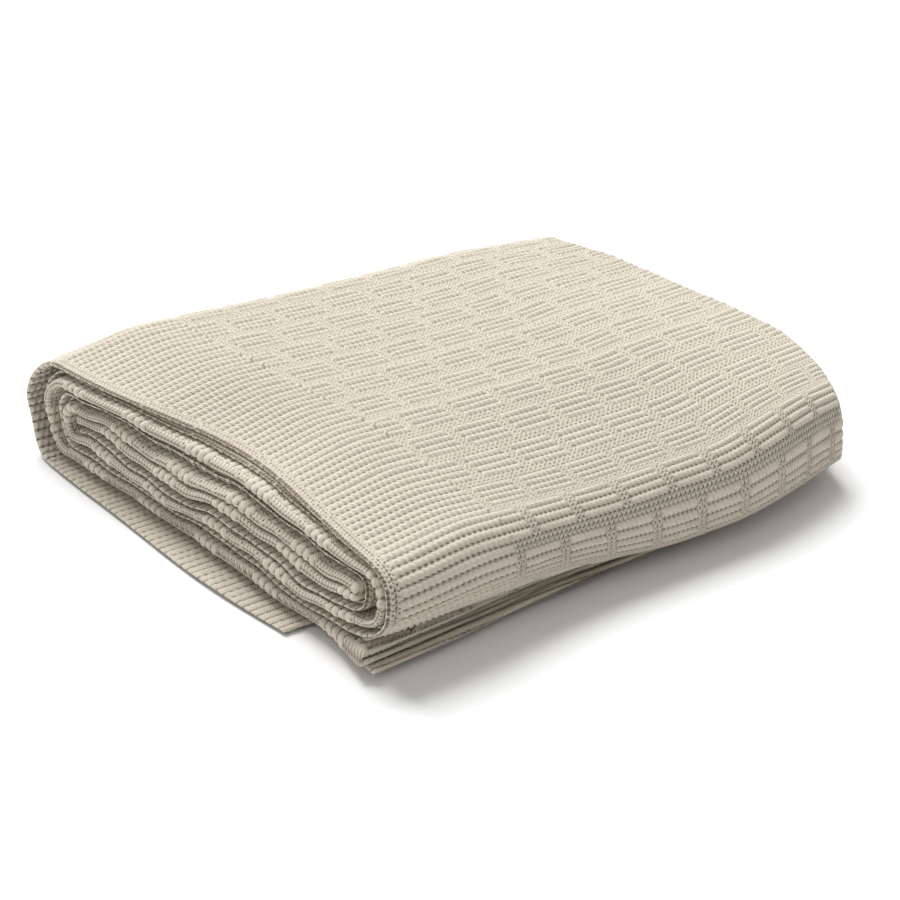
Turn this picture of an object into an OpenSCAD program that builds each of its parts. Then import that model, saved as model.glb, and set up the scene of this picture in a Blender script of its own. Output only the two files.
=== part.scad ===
// Knitted throw, folded in four along its width and rolled flat in five passes.
//
// The throw is one knitted sheet. Its width is folded in half twice, so the strip
// that is rolled has four plies. Ply 4 is the outermost in the roll and ply 3 lies
// under it: both end in a free selvedge. Plies 2 and 1 are one hairpin, joined by a
// rim on the selvedge side. On the other side plies 2 and 3 are joined by an inner
// end fold, and plies 1 and 4 by an outer end fold around it.
//
// Along its length the strip is rolled from the core outwards: core, inner front
// bend, upper pass, inner back bend, lower pass, outer front bend, top pass, outer
// back bend and tail. The tail lies on the surface that the roll rests on.
//
// X runs along the roll, from the selvedges to the end folds. The patterned front
// bulge faces -Y. The origin is at the middle of the bounding box, on the surface.

/* [Knit] */
// Thickness of one ply as it lies in the stack
ply_t = 3.1; // [2:0.1:5]
// Air between neighbouring plies
ply_gap = 0.3; // [0.3:0.05:0.6]

/* [Roll] */
// Length of the roll, from the hairpin rims to the outer end folds
roll_l = 370; // [200:1:500]
// Depth of the roll, from the front bulge to the back bulge
roll_d = 370; // [260:1:500]
// How far the inner front bend stands back from the outer one
front_slack = 9.6; // [0:0.1:14]
// How far the third ply of the outer back bend stands off its hairpin
third_slack = 4; // [0:0.5:8]
// How far the fourth ply of the outer back bend stands off the third
fourth_slack = 11; // [0:0.5:16]
// How far the inner back bend stands in from the hairpin around it
core_slack = 7; // [0:0.5:12]
// How far the core's cast-on edge stops short of the inner back bend's centre
core_short = 4; // [0:0.5:20]

/* [Selvedges] */
// Setback of the third ply's selvedge from the hairpin rims
third_back = 8; // [0:1:30]
// Setback of the fourth ply's selvedge from the hairpin rims
fourth_back = 4; // [0:1:30]
// Setback of the top selvedge half way along the top pass
top_mid = 24; // [0:1:40]
// Setback of the top selvedge where it meets the outer back bend
top_back = 8; // [0:1:40]
// How far the lowest selvedge sticks out past the hairpin rims
tail_out = 12; // [0:1:30]

/* [Tail] */
// Setback of the tail's cast-off edge from the front bulge, at the selvedges
lip_back = 17; // [10:1:60]
// How much further back the cast-off edge lies at the end folds
lip_slant = 16; // [0:1:40]
// Setback of the tail's hairpin from the third ply's edge
lip_step = 5; // [0:1:20]
// Setback of the lowest ply from the third ply's edge, at the selvedges
lowest_step = 61; // [0:1:100]

/* [Hidden] */
$fn = 96;
cream = "#d8cfbd";
PLIES = [1, 2, 3, 4];
PASSES = ["core", "upper", "lower", "top", "tail"];
BENDS = ["inner_front", "inner_back", "outer_front", "outer_back"];
STRETCHES = [for (p = PASSES) p, for (b = BENDS) str(b, "_bend")];

pitch = ply_t + ply_gap;
pack = len(PLIES) * pitch;
half_gap = ply_gap / 2;
// Height of the stack's centre lines above the surface, before the half gap is taken off
front_axis_z = 3 * pack;
back_axis_z = 2.5 * pack;
// The rims' and the end folds' own centre lines along X
rim_x = pitch - half_gap;
fold_x = roll_l - 2 * pitch + half_gap;
// The bends' centres along Y, counted from the front bulge
front_y = 2 * pack - half_gap;
hairpin_back_y = roll_d - 2.5 * pack + half_gap - third_slack - fourth_slack;
inner_back_y = hairpin_back_y - core_slack;

// Level of a pass in the stack, counted from the surface
function level(s) = s == "tail" ? 0 : s == "lower" ? 1 : s == "core" ? 2 : s == "upper" ? 3 : 4;
// Whether ply 4 lies uppermost in a pass
function outer_up(s) = s == "upper" || s == "top";
// Underside of ply n in a pass
function ply_z(s, n) = level(s) * pack + (outer_up(s) ? n - 1 : 4 - n) * pitch + half_gap;

// Centre of a bend along Y, for ply n
function bend_y(s, n) =
  s == "inner_front_bend" ? front_y + front_slack :
  s == "outer_front_bend" ? front_y :
  s == "inner_back_bend" ? inner_back_y :
  hairpin_back_y + (n > 2 ? third_slack : 0) + (n > 3 ? fourth_slack : 0);
function bend_z(s) = s == "inner_front_bend" || s == "outer_front_bend" ? front_axis_z : back_axis_z;
function bends_back(s) = s == "inner_back_bend" || s == "outer_back_bend";
// Radius inside ply 1 of a bend
function bend_r(s) =
  s == "inner_front_bend" ? 0 :
  s == "inner_back_bend" ? pack / 2 :
  s == "outer_front_bend" ? pack : 1.5 * pack;

// Front and back ends of ply n in a pass. The tail's front end is its cast-off edge, which
// is one line at the end folds and steps from ply to ply at the selvedges
function front_end(s, n) =
  s == "core" || s == "upper" ? bend_y("inner_front_bend", n) :
  s == "lower" || s == "top" ? front_y :
  lip_back + (n < 3 ? lip_step : n == 4 ? lowest_step : 0);
function back_end(s, n) =
  s == "core" ? inner_back_y - core_short :
  s == "upper" || s == "lower" ? inner_back_y :
  bend_y("outer_back_bend", n);
function fold_front(s, n) = s == "tail" ? lip_back + lip_slant : front_end(s, n);

// Selvedge-side edge of ply n: at the front end, half way and at the back end
function edge(n) = n < 3 ? rim_x : n == 3 ? third_back : fourth_back;
function edges(s, n) =
  s == "top" && n == 4 ? [fourth_back, top_mid, top_back] :
  s == "tail" && n == 4 ? [-tail_out / 2, -tail_out, -tail_out / 4] :
  [edge(n), edge(n), edge(n)];

// Half of a ring, cut through its diameter, bulging towards +X for side 1 or -X for -1
module half_ring(r_in, r_out, side) {
  intersection() {
    difference() {
      circle(r_out);
      circle(r_in);
    }
    translate([side > 0 ? 0 : -r_out - 1, -r_out - 1])
      square([r_out + 1, 2 * r_out + 2]);
  }
}

// A profile in the X-Z plane, drawn out along Y
module along(y0, y1) {
  translate([0, y1, 0])
    rotate([90, 0, 0])
      linear_extrude(y1 - y0)
        children();
}

// A profile of radius and X, turned half way round the axis of a bend
module around(s, n) {
  translate([0, bend_y(s, n), bend_z(s)])
    rotate([0, 90, 0])
      rotate(bends_back(s) ? 0 : 180)
        rotate_extrude(angle = 180)
          children();
}

// Sets a piece in the part's frame
module placed() {
  translate([-(roll_l - tail_out) / 2, -roll_d / 2, -half_gap])
    color(cream)
      children();
}

// One ply of a flat pass, cut to its selvedge and its ends
module flat_ply(s, n) {
  y0 = front_end(s, n);
  y1 = back_end(s, n);
  e = edges(s, n);
  placed()
    translate([0, 0, ply_z(s, n)])
      linear_extrude(ply_t)
        polygon([
          [e[0], y0],
          [fold_x, fold_front(s, n)],
          [fold_x, y1],
          [e[2], y1],
          [e[1], (y0 + y1) / 2]
        ]);
}

// One ply of a bend
module bent_ply(s, n) {
  r = bend_r(s) + (n - 1) * pitch + half_gap;
  placed()
    around(s, n)
      translate([r, edge(n)])
        square([ply_t, fold_x - edge(n)]);
}

// The hairpin that joins plies 1 and 2 of a pass on the selvedge side
module flat_rim(s) {
  z = level(s) * pack + (outer_up(s) ? 1 : 3) * pitch;
  placed()
    along(front_end(s, 1), back_end(s, 1))
      translate([rim_x, z])
        half_ring(half_gap, pitch - half_gap, -1);
}

// The same hairpin round a bend
module bent_rim(s) {
  placed()
    around(s, 1)
      translate([bend_r(s) + pitch, rim_x])
        rotate(90)
          half_ring(half_gap, pitch - half_gap, -1);
}

// The two nested end folds of a pass: plies 2 and 3, and plies 1 and 4 around them
module flat_end_fold(s) {
  z = (level(s) + 0.5) * pack;
  placed()
    along(fold_front(s, 1), back_end(s, 1))
      translate([fold_x, z]) {
        half_ring(half_gap, pitch - half_gap, 1);
        half_ring(pitch + half_gap, 2 * pitch - half_gap, 1);
      }
}

// The same end folds round a bend
module bent_end_fold(s) {
  placed()
    around(s, 1)
      translate([bend_r(s) + 2 * pitch, fold_x])
        rotate(90) {
          half_ring(half_gap, pitch - half_gap, 1);
          half_ring(pitch + half_gap, 2 * pitch - half_gap, 1);
        }
}

for (s = PASSES, n = PLIES)
  flat_ply(s, n);
for (b = BENDS, n = PLIES)
  bent_ply(str(b, "_bend"), n);
for (s = PASSES)
  flat_rim(s);
for (b = BENDS)
  bent_rim(str(b, "_bend"));
for (s = PASSES)
  flat_end_fold(s);
for (b = BENDS)
  bent_end_fold(str(b, "_bend"));
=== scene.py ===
"""A knitted throw, folded in four along its width and rolled flat in five passes.

The throw is one knitted sheet. Every piece here is a length of that sheet as it lies
in the roll: a closed thin shell with its knit raised on both faces. Lengths are in
millimetres until a mesh is written, which turns them into metres.
"""

import logging
from dataclasses import dataclass, field
from enum import Enum
from math import pi

import bpy
import numpy as np
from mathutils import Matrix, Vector


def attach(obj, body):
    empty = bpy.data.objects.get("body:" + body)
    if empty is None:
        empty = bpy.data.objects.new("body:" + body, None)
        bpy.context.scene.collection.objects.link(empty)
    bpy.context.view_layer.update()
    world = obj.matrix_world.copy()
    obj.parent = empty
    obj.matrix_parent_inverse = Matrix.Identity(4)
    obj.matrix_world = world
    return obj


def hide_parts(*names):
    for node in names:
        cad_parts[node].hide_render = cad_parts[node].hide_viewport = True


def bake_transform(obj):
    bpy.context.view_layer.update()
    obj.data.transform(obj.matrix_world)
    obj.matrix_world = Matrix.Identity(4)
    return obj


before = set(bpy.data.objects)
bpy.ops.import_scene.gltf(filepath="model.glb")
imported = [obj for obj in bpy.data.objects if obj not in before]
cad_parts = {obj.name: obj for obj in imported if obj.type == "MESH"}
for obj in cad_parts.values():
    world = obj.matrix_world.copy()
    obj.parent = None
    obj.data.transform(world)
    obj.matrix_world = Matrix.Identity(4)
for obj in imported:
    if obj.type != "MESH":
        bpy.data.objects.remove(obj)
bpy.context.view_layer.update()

LOG = logging.getLogger("throw")
MM = 0.001
Array = np.ndarray


def ease(x: Array, low: float, high: float) -> Array:
    """Rises smoothly from 0 at low to 1 at high.

    Args:
        x: where to read it.
        low: the value that gives 0.
        high: the value that gives 1.

    Returns:
        The eased share, of the same shape as x.
    """
    t = np.clip((np.asarray(x, float) - low) / (high - low), 0.0, 1.0)
    return t * t * (3.0 - 2.0 * t)


def bell(x: Array, centre: float, width: float) -> Array:
    """A soft bump of height 1 round centre, gone at about twice its width."""
    return np.exp(-(((np.asarray(x, float) - centre) / width) ** 2))


class Group(Enum):
    """The lengths of sheet that lie in the strip, from its inside outwards."""

    HAIRPIN = "hairpin"
    THIRD = "third"
    FOURTH = "fourth"


class Stretch(Enum):
    """The passes and bends of the roll, from its core outwards."""

    CORE = "core"
    INNER_FRONT = "inner_front_bend"
    UPPER = "upper"
    INNER_BACK = "inner_back_bend"
    LOWER = "lower"
    OUTER_FRONT = "outer_front_bend"
    TOP = "top"
    OUTER_BACK = "outer_back_bend"
    TAIL = "tail"


ORDER = list(Stretch)
PLIES = {Group.HAIRPIN: (1, 2), Group.THIRD: (3,), Group.FOURTH: (4,)}


@dataclass(frozen=True)
class Knit:
    """The half-drop basket knit and how far its yarn stands off the sheet's middle."""

    stitch: float = 3.28
    ridge: float = 5.9
    border: float = 21.0
    repeat: float = 10.0
    rows: float = 5.0
    floor: float = 0.35
    proud: float = 1.25
    cover_proud: float = 1.95
    most_inside: float = 1.6
    lane_half: tuple[float, float] = (0.9, 1.15)
    block_half: tuple[float, float] = (1.95, 2.1)
    chain: tuple[float, float] = (1.4, 2.2)

    def garter(self, a: Array, r: Array) -> Array:
        """Height of garter stitch from 0 to 1.

        Args:
            a: place across the sheet, in stitches.
            r: place along the sheet, in ridges.

        Returns:
            The height of a ridge of leaning beads, and of the legs that show in its valley.
        """
        off = r - np.floor(r) - 0.5
        a = a + 0.5 * np.mod(np.floor(r), 2.0)
        lean = np.abs(np.mod(a + 0.55 * off, 1.0) - 0.5) * 2
        bead = np.sqrt(np.clip(1 - 0.85 * lean**2, 0, 1))
        chance = np.sin(np.floor(a) * 12.99 + np.floor(r) * 78.23)
        full = (0.18 + 0.82 * bead) * (0.88 + 0.12 * chance)
        rope = np.sqrt(np.clip(1 - (off / (0.24 + 0.18 * bead)) ** 2, 0, 1)) * full
        legs = 0.32 - 0.32 * bell(np.mod(a, 1.0), 0.5 + 0.06 * chance, 0.25)
        return np.maximum(rope, legs)

    def plain(self, a: Array, r: Array) -> Array:
        """Height of stocking stitch from 0 to 1: two leaning legs to each stitch."""
        row = 2 * r - np.floor(2 * r)
        off = np.abs(a - np.floor(a) - 0.5)
        leg = (off - 0.12 - 0.26 * row) / 0.19
        return 0.08 + 0.56 * np.sqrt(np.clip(1 - leg**2, 0, 1)) - 0.08 * bell(row, 0, 0.18)

    def blocks(self, a: Array, r: Array) -> Array:
        """Share of garter stitch: 1 in the border and the blocks, 0 in the channels."""
        row = np.round(r / self.rows)
        along = np.abs(r - self.rows * row)
        shift = np.mod(row, 2.0) * self.repeat / 2
        half = self.repeat / 2
        first = a - self.border - 1.0 - shift
        across = np.abs(np.mod(first + half, self.repeat) - half)
        between = ease(along, *self.block_half)
        beside = ease(across, *self.lane_half)
        border = 1 - ease(a, self.border, self.border + 0.25)
        lane = ease(first, -1.3, -1.1)
        block = 1 - lane * (1 - beside)
        open_row = 1 - between * (1 - border)
        inside = np.maximum(beside * (1 - between), border + block * open_row)
        return np.where(a < self.border, 1.0, np.minimum(block, open_row) * inside)

    def face(self, a: Array, r: Array) -> Array:
        """Height of the knit's right side from 0 to 1."""
        share = self.blocks(a, r) * ease(a, *self.chain)
        return share * self.garter(a, r) + (1 - share) * self.plain(a, r)

    def back(self, a: Array, r: Array) -> Array:
        """Height of the knit's wrong side from 0 to 1."""
        return self.garter(a, r + 0.5)


KNIT = Knit()


@dataclass(frozen=True)
class Roll:
    """The line that the strip follows round the roll, as the frame's solids lie.

    Depth t runs through the strip from the inside of ply 1 to the outside of ply 4.
    u runs along the roll from the rims, v from the front bulge and z up.
    """

    pitch: float = 3.4
    pack: float = 13.6
    depth: float = 370.0
    rim_u: float = 3.25
    fold_u: float = 363.35
    border_u: float = 86.7
    middle_u: float = 179.0
    inner_front_v: float = 36.65
    outer_front_v: float = 27.05
    inner_back_v: float = 314.15
    outer_back_v: float = 321.15
    core_v: float = 310.15
    third_slack: float = 4.0
    fourth_slack: float = 12.0
    middle_v: float = 185.0
    rest_z: float = 0.15
    row_zero_v: float = 163.0
    fold_lip_v: float = 33.0
    third_lip_v: float = 17.0

    def slack(self, t: Array, u: Array) -> Array:
        """How far the outer back bend stands back, which dies out at the end folds."""
        third = ease(t, 6.6, 7.0)
        fourth = ease(t, 10.0, 10.4)
        stand = self.third_slack * third + (self.fourth_slack - self.third_slack) * fourth
        return stand * (1 - ease(u, 30.0, 270.0))

    def bend(self, stretch: Stretch) -> tuple[float, float, float]:
        """A bend's centre v, centre z and the radius inside ply 1."""
        return {
            Stretch.INNER_FRONT: (self.inner_front_v, 3 * self.pack, 0.0),
            Stretch.INNER_BACK: (self.inner_back_v, 2.5 * self.pack, self.pack / 2),
            Stretch.OUTER_FRONT: (self.outer_front_v, 3 * self.pack, self.pack),
            Stretch.OUTER_BACK: (self.outer_back_v, 2.5 * self.pack, 1.5 * self.pack),
        }[stretch]

    def ends(self, stretch: Stretch) -> tuple[float, float]:
        """Where a pass starts and ends along v, in the direction of the roll."""
        return {
            Stretch.CORE: (self.core_v, self.inner_front_v),
            Stretch.UPPER: (self.inner_front_v, self.inner_back_v),
            Stretch.LOWER: (self.inner_back_v, self.outer_front_v),
            Stretch.TOP: (self.outer_front_v, self.outer_back_v),
            Stretch.TAIL: (self.outer_back_v, 0.0),
        }[stretch]

    def level(self, stretch: Stretch, t: Array) -> Array:
        """Height of depth t in a pass."""
        row = {
            Stretch.TAIL: 0,
            Stretch.LOWER: 1,
            Stretch.CORE: 2,
            Stretch.UPPER: 3,
            Stretch.TOP: 4,
        }[stretch]
        outer_up = stretch in (Stretch.UPPER, Stretch.TOP)
        return row * self.pack + (t if outer_up else self.pack - t)

    def lip(self, group: Group, u: Array) -> Array:
        """Where the tail's cast-off edge lies along v."""
        near = {Group.THIRD: self.third_lip_v, Group.HAIRPIN: 22.0, Group.FOURTH: 78.0}[group]
        return near + (self.fold_lip_v - near) * np.clip(u / self.fold_u, 0, 1)

    def length(self, stretch: Stretch, depth: float) -> float:
        """Length of sheet in a stretch at a depth, at the selvedges."""
        if stretch in (
            Stretch.INNER_FRONT,
            Stretch.INNER_BACK,
            Stretch.OUTER_FRONT,
            Stretch.OUTER_BACK,
        ):
            return pi * (self.bend(stretch)[2] + depth)
        start, end = self.ends(stretch)
        slack = float(self.slack(np.array(depth), np.array(0.0)))
        if stretch is Stretch.TAIL:
            return start + slack - self.third_lip_v
        return abs(end - start) + (slack if stretch is Stretch.TOP else 0.0)

    def start(self, stretch: Stretch, depth: float) -> float:
        """Place of a stretch's first line along the sheet, 0 at the roll's middle."""
        ahead = ORDER[: ORDER.index(stretch)]
        to_top = ORDER[: ORDER.index(Stretch.TOP)]
        zero = sum(self.length(s, depth) for s in to_top) + self.row_zero_v - self.outer_front_v
        return sum(self.length(s, depth) for s in ahead) - zero

    def place(
        self, stretch: Stretch, share: Array, t: Array, u: Array, group: Group
    ) -> tuple[Array, Array]:
        """v and z of points of the strip.

        Args:
            stretch: the pass or bend.
            share: how far along the stretch, from 0 to 1.
            t: depth through the strip.
            u: place along the roll.
            group: the length of sheet, which sets where the tail ends.

        Returns:
            v and z, before the roll settles.
        """
        if stretch in (Stretch.INNER_FRONT, Stretch.OUTER_FRONT):
            v, z, r = self.bend(stretch)
            turn = pi * (share - 0.5)
            return v - (r + t) * np.cos(turn), z + (r + t) * np.sin(turn)
        if stretch in (Stretch.INNER_BACK, Stretch.OUTER_BACK):
            v, z, r = self.bend(stretch)
            if stretch is Stretch.OUTER_BACK:
                v = v + self.slack(t, u)
            turn = pi * (0.5 - share)
            return v + (r + t) * np.cos(turn), z + (r + t) * np.sin(turn)
        start, end = self.ends(stretch)
        if stretch is Stretch.TOP:
            end = end + self.slack(t, u)
        if stretch is Stretch.TAIL:
            start, end = start + self.slack(t, u), self.lip(group, u)
        return start + (end - start) * share, self.level(stretch, t) + 0 * share


ROLL = Roll()


@dataclass(frozen=True)
class Settling:
    """How the rolled throw sags and swells: one smooth map of space for every ply."""

    top: float = 68.0
    crown: float = 3.0
    edge_drop: float = 5.0
    nose: float = 19.0
    shoulder: float = 10.0
    skew: float = 20.0
    lean: float = 14.0
    wave: float = 3.0
    flaps: float = 13.6
    lowest: float = -0.4

    def fall(self, u: Array, v: Array) -> Array:
        """How far the top of the roll lies below its flat level."""
        near = 1 - ease(u, 0.0, 70.0)
        along = 0.2 + 0.8 * ease(u, 0.0, 180.0) - 0.6 * ease(u, 230.0, 350.0)
        nose = self.nose * ease(-v, -150.0, 10.0) * along
        shoulder = self.shoulder * ease(u, 270.0, 400.0)
        return nose + shoulder + self.edge_drop * near - self.crown * (1 - near)

    def height(self, u: Array, v: Array, z: Array) -> Array:
        """Settled height: the fall, the rims' waves, the front bulge's sag and the flaps."""
        near = 1 - ease(u, 10.0, 130.0)
        above = np.clip((z - self.flaps) / (self.top - self.flaps), 0, None)
        ripple = np.sin(v / 21.0 + 0.8) * 0.6
        ripple = ripple + np.sin(v / 9.5 + z / 11.0) * 0.35 + np.sin(v / 5.3 - z / 6.0) * 0.15
        settled = z - self.fall(u, v) * above
        settled = settled + near * self.wave * ripple * np.sin(pi * np.clip(z / self.top, 0, 1))
        sag = 7.0 * (1 - ease(v, 2.0, 34.0)) * ease(z, self.flaps, 24.0) * (1 - ease(z, 36.0, 60.0))
        lift = 5.0 * (1 - ease(v, 4.0, 60.0)) * (1 - ease(u, 90.0, 210.0)) * ease(z, 9.0, 18.0)
        settled = settled - sag * ease(u, 110.0, 220.0) + lift * (1 - ease(z, 22.0, 44.0))
        return np.maximum(settled, self.lowest)

    def depth(self, u: Array, v: Array, z: Array) -> Array:
        """Settled v: the skew at the end folds, the front bulge's pull and the flaps' reach."""
        skew = self.skew * np.clip((u - 250.0) / 106.0, 0, None) ** 1.3 * (1 - ease(v, 200.0, 360.0))
        rims = 4.0 * (1 - ease(u, 60.0, 160.0)) * ease(v, 60.0, 200.0)
        pull = 10.0 * (1 - ease(v, 0.0, 60.0)) * ease(u, 20.0, 150.0) * ease(z, 6.0, 40.0)
        reach = 9.0 * (1 - ease(u, 0.0, 150.0)) * (1 - ease(v, 10.0, 90.0)) * (1 - ease(z, 8.0, 16.0))
        return v + skew + rims + pull - reach

    def along(self, u: Array, v: Array, z: Array) -> Array:
        """Settled u: the leaning rims, the flaps' corner and the bowed end folds."""
        near = 1 - ease(u, 10.0, 130.0)
        slope = self.lean * ease(z, 22.0, self.top) * bell(v, 150.0, 110.0)
        corner = (1 - ease(v, 10.0, 70.0)) * (1 - ease(u, 0.0, 80.0)) * (1 - ease(z, 8.0, 16.0))
        settled = u - 12.0 * corner + near * (slope + 1.2 * np.sin(v / 31.0 + z / 8.0))
        bow = 35.0 * ease(v, -20.0, 110.0) - 12.0 * ease(v, 250.0, 360.0) - 16.0
        return settled + ease(u, 280.0, 370.0) * bow

    def move(self, u: Array, v: Array, z: Array) -> tuple[Array, Array, Array]:
        """Settles points of the roll.

        Args:
            u: place along the roll from the rims.
            v: place from the front bulge.
            z: height over the floor.

        Returns:
            The settled u, v and z.
        """
        return self.along(u, v, z), self.depth(u, v, z), self.height(u, v, z)


SETTLING = Settling()


@dataclass(frozen=True)
class Edges:
    """Where each group's edge on the selvedge side lies along u, from place to place."""

    def at(self, group: Group, stretch: Stretch, share: Array) -> Array:
        """The edge's u along a stretch.

        Args:
            group: the length of sheet.
            stretch: the pass or bend.
            share: how far along the stretch.

        Returns:
            u of the hairpin's rim centre, or of a selvedge.
        """
        plain = {Group.HAIRPIN: 3.25, Group.THIRD: 8.0, Group.FOURTH: 4.0}[group]
        marks = {
            (Group.FOURTH, Stretch.OUTER_FRONT): (3.0, 1.0, 4.0),
            (Group.FOURTH, Stretch.TOP): (4.0, 10.0, 4.0),
            (Group.FOURTH, Stretch.OUTER_BACK): (4.0, 1.0, -4.0),
            (Group.FOURTH, Stretch.TAIL): (-4.0, -12.0, -10.0),
            (Group.FOURTH, Stretch.LOWER): (4.0, 6.0, 3.0),
        }.get((group, stretch), (plain, plain, plain))
        first, middle, last = marks
        bow = middle - (first + last) / 2
        return first + (last - first) * share + bow * np.sin(pi * share)


EDGES = Edges()


HALF = ROLL.pitch / 2
COVER = 400.0
WHOLE = 250.0


@dataclass
class Strip:
    """A length of the sheet through some stretches of the roll, as one closed shell."""

    name: str
    group: Group
    stretches: list[Stretch]
    body: str
    outer_step: float = 0.656
    inner_step: float = 1.64
    outer_far: float = 30.0
    inner_far: float = 12.0
    along_step: float = 0.7375
    share_span: tuple[float, float] = (0.0, 1.0)
    piece: bpy.types.Object | None = field(default=None, init=False)

    @property
    def depth(self) -> float:
        """Depth of the group's middle in the strip."""
        return {Group.HAIRPIN: 2, Group.THIRD: 5, Group.FOURTH: 7}[self.group] * HALF

    @property
    def fold_radius(self) -> float:
        """Radius of the group's end fold."""
        return HALF if self.group is Group.THIRD else 3 * HALF

    @property
    def width(self) -> float:
        """Width of sheet in this group, from edge to edge."""
        if self.group is Group.HAIRPIN:
            return 2 * (ROLL.fold_u - ROLL.rim_u) + pi * HALF
        return KNIT.border * KNIT.stitch + ROLL.fold_u - ROLL.border_u + pi * self.fold_radius

    def samples(self, step: float, far: float) -> Array:
        """Places across the sheet, close together near what shows and wide elsewhere.

        Args:
            step: spacing where the knit shows.
            far: how far from an edge the knit is still modelled.

        Returns:
            Distances across the sheet, from 0 to the group's width.
        """
        width = self.width
        if far >= WHOLE:
            count = int(round(width / step))
            spots = np.linspace(0, width, count + 1)
            if self.group is Group.HAIRPIN:
                shown = (spots > width / 2 - 30) | (spots < 14)
                spots = spots[shown | (np.arange(count + 1) % 8 == 0)]
            return spots
        near = np.arange(0, far, step)
        mids = []
        spot, gap = near[-1], step
        centre = width / 2 if self.group is not Group.HAIRPIN else width / 4
        while spot + gap * 1.5 < centre:
            gap = min(gap * 1.5, 14.0)
            spot += gap
            mids.append(spot)
        half = np.concatenate([near, mids])
        if self.group is Group.HAIRPIN:
            quarter = np.concatenate([half, 2 * centre - half[::-1]])
            return np.concatenate([quarter, width - quarter[::-1][1:]])
        return np.concatenate([half, width - half[::-1]])

    def across(self, w: Array, edge: Array) -> tuple[Array, Array, Array, Array]:
        """The sheet's middle line across the strip.

        Args:
            w: place across the sheet.
            edge: u of the edge on the selvedge side.

        Returns:
            u, t and the outward normal's u and t parts.
        """
        one = np.ones_like(w * edge)
        if self.group is Group.HAIRPIN:
            leg = ROLL.fold_u - ROLL.rim_u
            arc = pi * HALF
            turn = np.clip((w - leg) / HALF, 0, pi)
            on_two = np.clip(w, 0, leg)
            on_one = np.clip(w - leg - arc, 0, leg)
            reach = (ROLL.fold_u - edge) / leg
            u = ROLL.fold_u - on_two * reach + on_one * reach - HALF * np.sin(turn)
            t = self.depth + HALF * np.cos(turn) * one
            return u, t, -np.sin(turn) * one, np.cos(turn) * one
        radius = self.fold_radius
        plain = self.width - pi * radius
        border = KNIT.border * KNIT.stitch
        stretched = edge + (ROLL.border_u - edge) * np.clip(w / border, 0, 1)
        beyond = ROLL.border_u + np.clip(w, border, plain) - border
        flat = np.where(w < border, stretched, beyond)
        turn = np.clip((w - plain) / radius, 0, pi)
        u = flat + radius * np.sin(turn)
        t = self.depth - radius * (1 - np.cos(turn)) * one
        return u, t, np.sin(turn) * one, np.cos(turn) * one

    def lines(self) -> list[tuple[Stretch, Array, Array]]:
        """The lines across the strip: stretch, shares along it and places along the sheet."""
        found = []
        for number, stretch in enumerate(self.stretches):
            length = ROLL.length(stretch, self.depth)
            start = ROLL.start(stretch, self.depth)
            low = self.share_span[0] if number == 0 else 0.0
            high = self.share_span[1] if number == len(self.stretches) - 1 else 1.0
            s0, s1 = start + low * length, start + high * length
            if low > 0:
                s0 = KNIT.ridge * round(s0 / KNIT.ridge)
            if high < 1:
                s1 = KNIT.ridge * round(s1 / KNIT.ridge)
            lattice = np.arange(np.ceil(s0 / self.along_step), np.floor(s1 / self.along_step) + 1)
            inner = lattice * self.along_step
            inner = inner[(inner > s0 + 0.3) & (inner < s1 - 0.3)]
            places = np.concatenate([[s0] if number == 0 else [], inner, [s1]])
            found.append((stretch, (places - start) / length, places))
        return found

    def build(self) -> "Strip":
        """Builds the shell: a grid bent round the roll, closed along its seam and capped."""
        outer = self.samples(self.outer_step, self.outer_far)
        inner = self.samples(self.inner_step, self.inner_far)
        hairpin = self.group is Group.HAIRPIN
        cap = np.array([]) if hairpin else np.radians([60.0, 30.0, 0.0, -30.0, -60.0])
        w = np.concatenate([outer[::-1], np.zeros(len(cap)), inner])
        side = np.concatenate([np.ones(len(outer)), np.sin(cap), -np.ones(len(inner))])
        out = np.concatenate([np.zeros(len(outer)), np.cos(cap), np.zeros(len(inner))])
        zone = np.concatenate(
            [
                np.full(len(outer), self.outer_far),
                np.full(len(cap), WHOLE),
                np.full(len(inner), self.inner_far),
            ]
        )
        rows_u, rows_v, rows_z, rows_h, rows_r = [], [], [], [], []
        lines = self.lines()
        total = sum(len(line[1]) for line in lines)
        for stretch, shares, places in lines:
            share = shares[:, None]
            u, v, z, h, r = self.shell(stretch, share, places[:, None], w, side, out, zone)
            rows_u.append(u)
            rows_v.append(v)
            rows_z.append(z)
            rows_h.append(h)
            rows_r.append(r)
        u, v, z = (np.concatenate(rows) for rows in (rows_u, rows_v, rows_z))
        h, r = np.concatenate(rows_h), np.concatenate(rows_r)
        u, v, z = SETTLING.move(u, v, z)
        points = np.stack([u - ROLL.middle_u, v - ROLL.middle_v, z - ROLL.rest_z], axis=-1) * MM
        points = np.concatenate([points, points[:, :1]], axis=1)
        h = np.concatenate([h, h[:, :1]], axis=1)
        a = np.broadcast_to(w / KNIT.stitch, r.shape)
        uv = np.stack([a, r], axis=-1)
        uv = np.concatenate([uv, uv[:, :1]], axis=1)
        self.piece = shell_mesh(self.name, points, h, uv)
        LOG.info("%s: %d lines of %d points", self.name, total, len(w))
        return self

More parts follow.
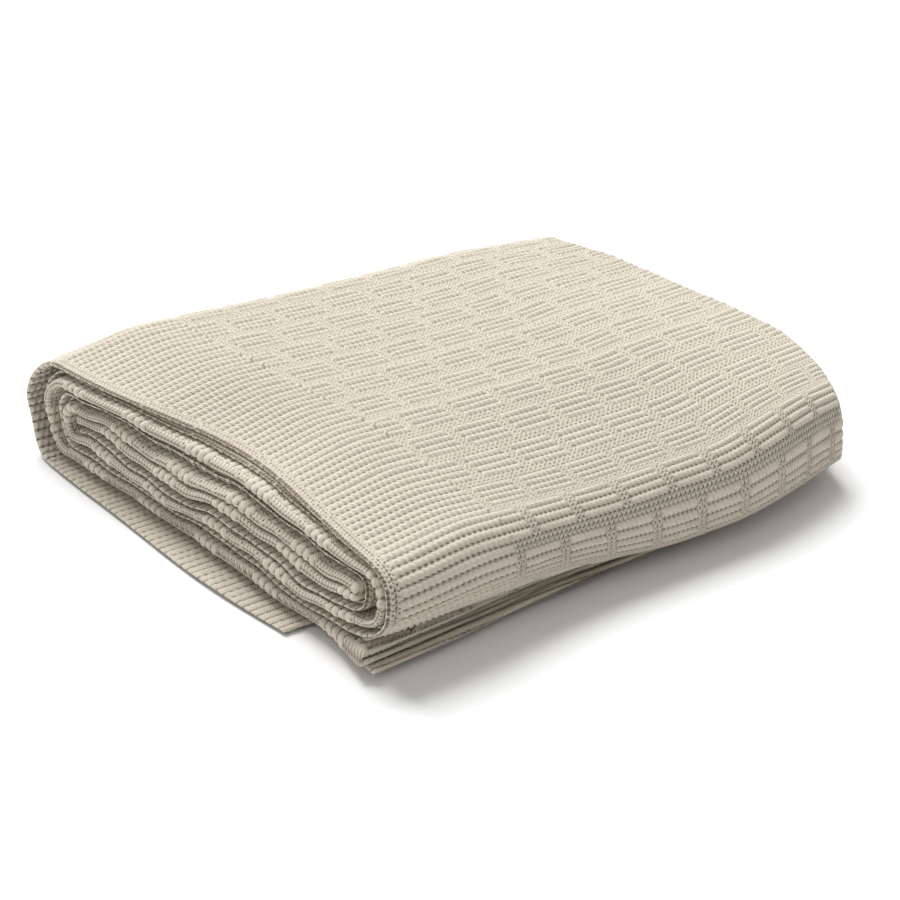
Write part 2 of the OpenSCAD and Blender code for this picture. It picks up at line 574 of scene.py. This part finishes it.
    def shell(
        self,
        stretch: Stretch,
        share: Array,
        place: Array,
        w: Array,
        side: Array,
        out: Array,
        zone: Array,
    ) -> tuple[Array, Array, Array, Array, Array]:
        """The shell's points along one stretch.

        Args:
            stretch: the pass or bend.
            share: how far along it, one row for each line.
            place: the lines' places along the sheet.
            w: places across the sheet.
            side: 1 on the outer face, -1 on the inner, between on the selvedge.
            out: how far round the selvedge, from 0 to 1.
            zone: how far from an edge the knit is modelled.

        Returns:
            u, v, z, the knit's height from 0 to 1 and the place in ridges.
        """
        edge = EDGES.at(self.group, stretch, share)
        u, t, nu, nt = self.across(w[None, :], edge)
        r = (place + 0 * w[None, :]) / KNIT.ridge
        if stretch is Stretch.TAIL:
            start = ROLL.start(stretch, self.depth)
            back = ROLL.outer_back_v + ROLL.slack(t, u)
            v_here = back + (ROLL.lip(self.group, u) - back) * share
            r = (start + (ROLL.outer_back_v + ROLL.slack(t, u) - v_here)) / KNIT.ridge
        a = np.broadcast_to(w[None, :] / KNIT.stitch, r.shape)
        if self.group is Group.HAIRPIN:
            a = a + 1.4
        face = KNIT.face(a, r)
        back_face = KNIT.back(a, r)
        nearest = np.minimum(w, self.width - w)
        if self.group is Group.HAIRPIN:
            nearest = np.minimum(nearest, np.abs(w - self.width / 2))
        detail = 1 - ease(nearest, zone - 4.0, zone)
        height = np.where(side > 0, face, back_face)
        height = 0.7 + (height - 0.7) * detail
        proud = KNIT.cover_proud if self.outer_far == COVER else KNIT.proud
        lift = KNIT.floor + proud * height
        lift = np.where(side < 0, np.minimum(lift, KNIT.most_inside), lift)
        if stretch is Stretch.TAIL:
            over = np.clip((share * ROLL.length(stretch, self.depth) - self.lip_round()) / 1.8, 0, 1)
            lift = lift * np.sqrt(np.clip(1.02 - over**2, 0, 1))
        u = u + nu * lift * side - out * 1.35
        t = t + nt * lift * side
        v, z = ROLL.place(stretch, share, t, u, self.group)
        v, z = v + 0 * u, z + 0 * u
        return u, v, z, height, r

    def lip_round(self) -> float:
        """Where along the tail the sheet starts to round off to its cast-off edge."""
        return ROLL.length(Stretch.TAIL, self.depth) - 1.8

    def dress(self, material: bpy.types.Material) -> "Strip":
        """Gives the piece its finish, its body and what it stands for.

        Args:
            material: the yarn's material.

        Returns:
            The strip itself.
        """
        piece = self.piece
        piece.data.materials.clear()
        piece.data.materials.append(material)
        names = [f"{s.value}_ply_{n}" for s in self.stretches for n in PLIES[self.group]]
        if self.group is Group.HAIRPIN:
            names += [f"{s.value}_rim" for s in self.stretches]
        else:
            names += [f"{s.value}_end_fold" for s in self.stretches]
        if self.body == "bend":
            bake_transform(piece)
        else:
            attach(piece, self.body)
        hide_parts(*names)
        LOG.info("%s rides on %s", self.name, self.body)
        return self


def shell_mesh(name: str, points: Array, height: Array, uv: Array) -> bpy.types.Object:
    """Makes a closed shell from a grid of points whose last column meets its first.

    Args:
        name: the piece's name.
        points: lines by columns by 3, in metres.
        height: the knit's height at each point.
        uv: the place in stitches and ridges at each point.

    Returns:
        The finished object.
    """
    lines, columns = points.shape[:2]
    bpy.ops.object.select_all(action="DESELECT")
    bpy.ops.mesh.primitive_grid_add(x_subdivisions=columns - 1, y_subdivisions=lines - 1, size=2.0)
    piece = bpy.context.object
    piece.name = name
    mesh = piece.data
    mesh.name = name
    mesh.vertices.foreach_set("co", points.reshape(-1))
    loops = np.zeros(len(mesh.loops), np.int32)
    mesh.loops.foreach_get("vertex_index", loops)
    mesh.uv_layers[0].name = "knit"
    mesh.uv_layers[0].data.foreach_set("uv", uv.reshape(-1, 2)[loops].reshape(-1))
    # The knit's height is kept on the points so that the material can paint shade into its low places.
    raised = mesh.attributes.new("raised", "FLOAT", "POINT")
    raised.data.foreach_set("value", height.reshape(-1))
    mesh.update()
    bpy.ops.object.mode_set(mode="EDIT")
    bpy.ops.mesh.select_all(action="SELECT")
    bpy.ops.mesh.remove_doubles(threshold=2e-6)
    bpy.ops.mesh.select_all(action="DESELECT")
    bpy.ops.mesh.select_mode(type="EDGE")
    bpy.ops.mesh.select_non_manifold()
    bpy.ops.mesh.mark_sharp()
    bpy.ops.mesh.fill_holes(sides=0)
    bpy.ops.mesh.select_all(action="SELECT")
    bpy.ops.mesh.normals_make_consistent(inside=False)
    bpy.ops.object.mode_set(mode="OBJECT")
    bpy.ops.object.shade_smooth()
    return piece


@dataclass(frozen=True)
class Yarn:
    """The cotton yarn's finish: its cream colour, and painted shade for the low places of the knit."""

    # lit: the yarn's own cream colour, given to the tops of the loops
    lit: tuple[float, float, float, float] = (0.66, 0.60, 0.50, 1.0)
    # painted shade: the dark warm brown given to the knit's valleys, where shade falls between the loops
    painted_shade: tuple[float, float, float, float] = (0.15, 0.105, 0.065, 1.0)

    def material(self) -> bpy.types.Material:
        """Builds the material: cream on the loops, and painted shade in warm brown down between them,
        darker the lower the knit lies.
        """
        material = bpy.data.materials.new("cotton_knit")
        material.use_nodes = True
        tree = material.node_tree
        shader = tree.nodes["Principled BSDF"]
        shader.inputs["Roughness"].default_value = 0.92
        shader.inputs["Specular IOR Level"].default_value = 0.2
        shader.inputs["Sheen Weight"].default_value = 0.25
        shader.inputs["Sheen Roughness"].default_value = 0.5
        # Painted shade: the knit's height drives a ramp from dark brown in the valleys to cream on the
        # loop tops.
        raised = tree.nodes.new("ShaderNodeAttribute")
        raised.attribute_name = "raised"
        ramp = tree.nodes.new("ShaderNodeValToRGB")
        ramp.color_ramp.elements[0].position = 0.04
        ramp.color_ramp.elements[0].color = self.painted_shade
        ramp.color_ramp.elements[1].position = 0.42
        ramp.color_ramp.elements[1].color = self.lit
        tree.links.new(raised.outputs["Fac"], ramp.inputs["Fac"])
        place = tree.nodes.new("ShaderNodeTexCoord")
        mottle = self.noise(tree, place, 160.0)
        tint = tree.nodes.new("ShaderNodeMix")
        tint.data_type = "RGBA"
        tint.blend_type = "MULTIPLY"
        tint.inputs["Factor"].default_value = 1.0
        tone = tree.nodes.new("ShaderNodeMapRange")
        tone.inputs["To Min"].default_value = 0.92
        tone.inputs["To Max"].default_value = 1.06
        tree.links.new(mottle.outputs["Fac"], tone.inputs["Value"])
        tree.links.new(ramp.outputs["Color"], tint.inputs["A"])
        tree.links.new(tone.outputs["Result"], tint.inputs["B"])
        tree.links.new(tint.outputs["Result"], shader.inputs["Base Color"])
        fuzz = self.noise(tree, place, 1700.0)
        knit = tree.nodes.new("ShaderNodeUVMap")
        knit.uv_map = "knit"
        twist = tree.nodes.new("ShaderNodeTexWave")
        twist.bands_direction = "DIAGONAL"
        twist.inputs["Scale"].default_value = 1.6
        twist.inputs["Distortion"].default_value = 1.0
        tree.links.new(knit.outputs["UV"], twist.inputs["Vector"])
        strand = tree.nodes.new("ShaderNodeBump")
        strand.inputs["Strength"].default_value = 0.4
        strand.inputs["Distance"].default_value = 0.0004
        tree.links.new(twist.outputs["Fac"], strand.inputs["Height"])
        bump = tree.nodes.new("ShaderNodeBump")
        bump.inputs["Strength"].default_value = 0.6
        bump.inputs["Distance"].default_value = 0.0005
        tree.links.new(fuzz.outputs["Fac"], bump.inputs["Height"])
        tree.links.new(strand.outputs["Normal"], bump.inputs["Normal"])
        tree.links.new(bump.outputs["Normal"], shader.inputs["Normal"])
        worn = tree.nodes.new("ShaderNodeMapRange")
        worn.inputs["To Min"].default_value = 0.84
        worn.inputs["To Max"].default_value = 0.97
        tree.links.new(fuzz.outputs["Fac"], worn.inputs["Value"])
        tree.links.new(worn.outputs["Result"], shader.inputs["Roughness"])
        return material

    def noise(self, tree: bpy.types.NodeTree, place: bpy.types.Node, scale: float) -> bpy.types.Node:
        """A noise that is fixed to the yarn.

        Args:
            tree: the material's nodes.
            place: the node that gives the object's coordinates.
            scale: features to the metre.

        Returns:
            The noise node.
        """
        noise = tree.nodes.new("ShaderNodeTexNoise")
        noise.inputs["Scale"].default_value = scale
        noise.inputs["Detail"].default_value = 2.0
        tree.links.new(place.outputs["Object"], noise.inputs["Vector"])
        return noise


class Studio:
    """The floor, the soft light and the camera."""

    def floor(self) -> None:
        """Lays a wide pale floor."""
        bpy.ops.object.select_all(action="DESELECT")
        bpy.ops.mesh.primitive_plane_add(size=30.0, location=(0, 0, -0.0006))
        plane = bpy.context.object
        plane.name = "studio_floor"
        material = bpy.data.materials.new("studio_paper")
        material.use_nodes = True
        shader = material.node_tree.nodes["Principled BSDF"]
        shader.inputs["Base Color"].default_value = (0.95, 0.95, 0.95, 1.0)
        shader.inputs["Roughness"].default_value = 0.9
        plane.data.materials.append(material)

    def lamp(self, name: str, place: tuple[float, float, float], size: float, power: float) -> None:
        """Hangs a soft lamp that faces the throw.

        Args:
            name: the lamp's name.
            place: where it hangs, in metres.
            size: the side of its square panel.
            power: its power in watts.
        """
        data = bpy.data.lights.new(name, "AREA")
        data.size = size
        data.energy = power
        lamp = bpy.data.objects.new(name, data)
        bpy.context.scene.collection.objects.link(lamp)
        lamp.location = place
        aim = Vector((0, 0, 0.03)) - Vector(place)
        lamp.rotation_euler = aim.to_track_quat("-Z", "Y").to_euler()

    def world(self) -> None:
        """Surrounds the scene with even white light."""
        world = bpy.data.worlds.new("studio_world")
        bpy.context.scene.world = world
        world.use_nodes = True
        back = world.node_tree.nodes["Background"]
        back.inputs["Color"].default_value = (1, 1, 1, 1)
        back.inputs["Strength"].default_value = 0.36
        bpy.context.scene.view_settings.view_transform = "Standard"

    def camera(self) -> None:
        """Places the camera."""
        data = bpy.data.cameras.new("camera")
        data.lens = 100.5
        data.sensor_width = 36.0
        camera = bpy.data.objects.new("camera", data)
        bpy.context.scene.collection.objects.link(camera)
        camera.location = (-0.8184, -1.0738, 0.6418)
        aim = Vector((0.550, 0.721, -0.422))
        camera.rotation_euler = aim.to_track_quat("-Z", "Y").to_euler()
        bpy.context.scene.camera = camera

    def build(self) -> None:
        """Sets the whole studio."""
        self.floor()
        self.world()
        self.lamp("lamp_key", (0.7, 2.3, 3.2), 3.0, 250.0)
        self.lamp("lamp_fill", (-2.4, -1.6, 2.2), 2.0, 14.0)
        self.camera()


S = Stretch
WRAP = [S.CORE, S.INNER_FRONT, S.UPPER, S.INNER_BACK, S.LOWER]


class Throw:
    """The whole throw, piece by piece."""

    def wraps(self, group: Group) -> list[Strip]:
        """The passes inside the roll."""
        if group is not Group.FOURTH:
            return [Strip(f"{group.value}_wrap", group, WRAP, "roll", outer_far=14.0)]
        return [
            Strip("fourth_wrap", group, WRAP[:-1], "roll", outer_far=14.0),
            Strip("fourth_wrap_lower", group, [S.LOWER], "roll", outer_step=1.3,
                  outer_far=WHOLE, along_step=1.18),
        ]

    def covers(self, group: Group) -> list[Strip]:
        """The outer front bend and the top pass."""
        both = [S.OUTER_FRONT, S.TOP]
        if group is not Group.FOURTH:
            return [Strip(f"{group.value}_cover", group, both, "roll", outer_far=14.0)]
        found = [Strip("fourth_cover_front", group, both, "roll", outer_far=COVER, share_span=(0.0, 0.1))]
        for number, span in enumerate([(0.1, 0.4), (0.4, 0.7), (0.7, 1.0)], start=1):
            name = f"fourth_cover_top_{number}"
            found.append(Strip(name, group, [S.TOP], "roll", outer_far=COVER, share_span=span))
        return found

    def tails(self, group: Group) -> list[Strip]:
        """The outer back bend and the tail, whose lip is finer."""
        outermost = group is Group.FOURTH
        step, far = (0.82, 34.0) if outermost else (1.64, 12.0)
        shown = {Group.HAIRPIN: WHOLE, Group.THIRD: 30.0, Group.FOURTH: 30.0}[group]
        bend = Strip(f"{group.value}_back_bend", group, [S.OUTER_BACK], "bend",
                     outer_far=COVER if outermost else 14.0, inner_step=step, inner_far=far)
        tail = Strip(f"{group.value}_tail", group, [S.TAIL], "tail", outer_step=1.3, outer_far=shown,
                     inner_step=step, inner_far=far, along_step=1.18, share_span=(0.0, 0.84))
        lip = Strip(f"{group.value}_lip", group, [S.TAIL], "tail", outer_step=1.3, outer_far=WHOLE,
                    inner_step=1.3, inner_far=WHOLE, share_span=(0.84, 1.0))
        return [bend, tail, lip]

    def strips(self) -> list[Strip]:
        """Every length of sheet in the roll."""
        found = []
        for group in Group:
            found += self.wraps(group) + self.covers(group) + self.tails(group)
        return found

    def build(self) -> None:
        """Builds and dresses every strip."""
        material = Yarn().material()
        for strip in self.strips():
            strip.build().dress(material)


def main() -> None:
    """Builds the throw and its studio."""
    logging.basicConfig(level=logging.INFO, format="%(message)s")
    Throw().build()
    Studio().build()


if __name__ == "__main__":
    main()
